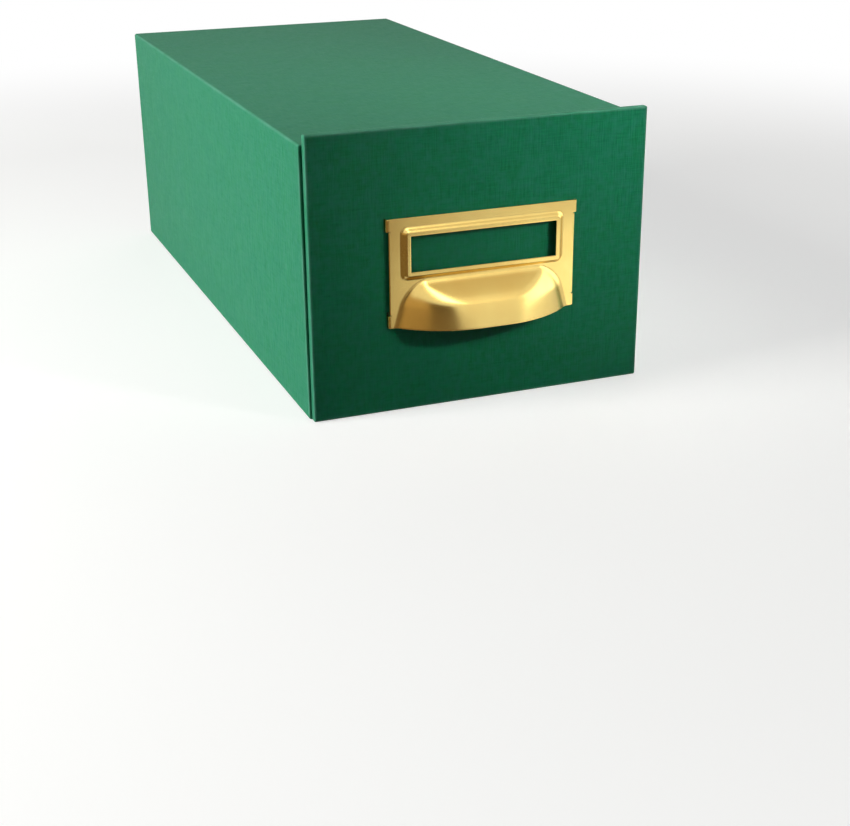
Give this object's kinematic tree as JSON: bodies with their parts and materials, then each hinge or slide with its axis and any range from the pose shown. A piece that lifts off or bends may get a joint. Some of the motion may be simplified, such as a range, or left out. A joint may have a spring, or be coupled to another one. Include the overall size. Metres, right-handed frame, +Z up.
{
  "type": "index card drawer",
  "caption": "Covered-board index card drawer: an open-fronted casing with a card tray that slides out, and a brass label frame with a cup pull on its front.",
  "frame": {"origin": "centre of the casing's underside, on the surface that it stands on", "axes": "+Z up, the drawer opens along -Y, +X to the right of someone facing the front panel"},
  "size_m": [0.1134, 0.2543, 0.09],
  "materials": {
    "green_cover": "satin embossed",
    "greyboard": "matt",
    "lining": "matt",
    "brass": "satin"
  },
  "bodies": {
    "casing": {"casing_base_board": "greyboard", "casing_top_board": "greyboard", "casing_left_board": "greyboard", "casing_right_board": "greyboard", "casing_back_board": "greyboard", "casing_wrap": "green_cover", "casing_base_cover": "green_cover", "casing_back_cover": "green_cover"},
    "drawer": {"tray_base_board": "greyboard", "tray_left_board": "greyboard", "tray_right_board": "greyboard", "tray_back_board": "greyboard", "tray_front_board": "greyboard", "tray_wrap": "green_cover", "tray_base_cover": "green_cover", "tray_wall_lining": "lining", "tray_floor_lining": "lining", "front_panel_board": "greyboard", "front_panel_wrap": "green_cover", "front_panel_backing": "green_cover", "label_pull": "brass"}
  },
  "joints": [
    {"name": "drawer_slide", "type": "slide", "parent": "casing", "child": "drawer", "axis": [0, -1, 0], "range_m": [0, 0.2]}
  ]
}
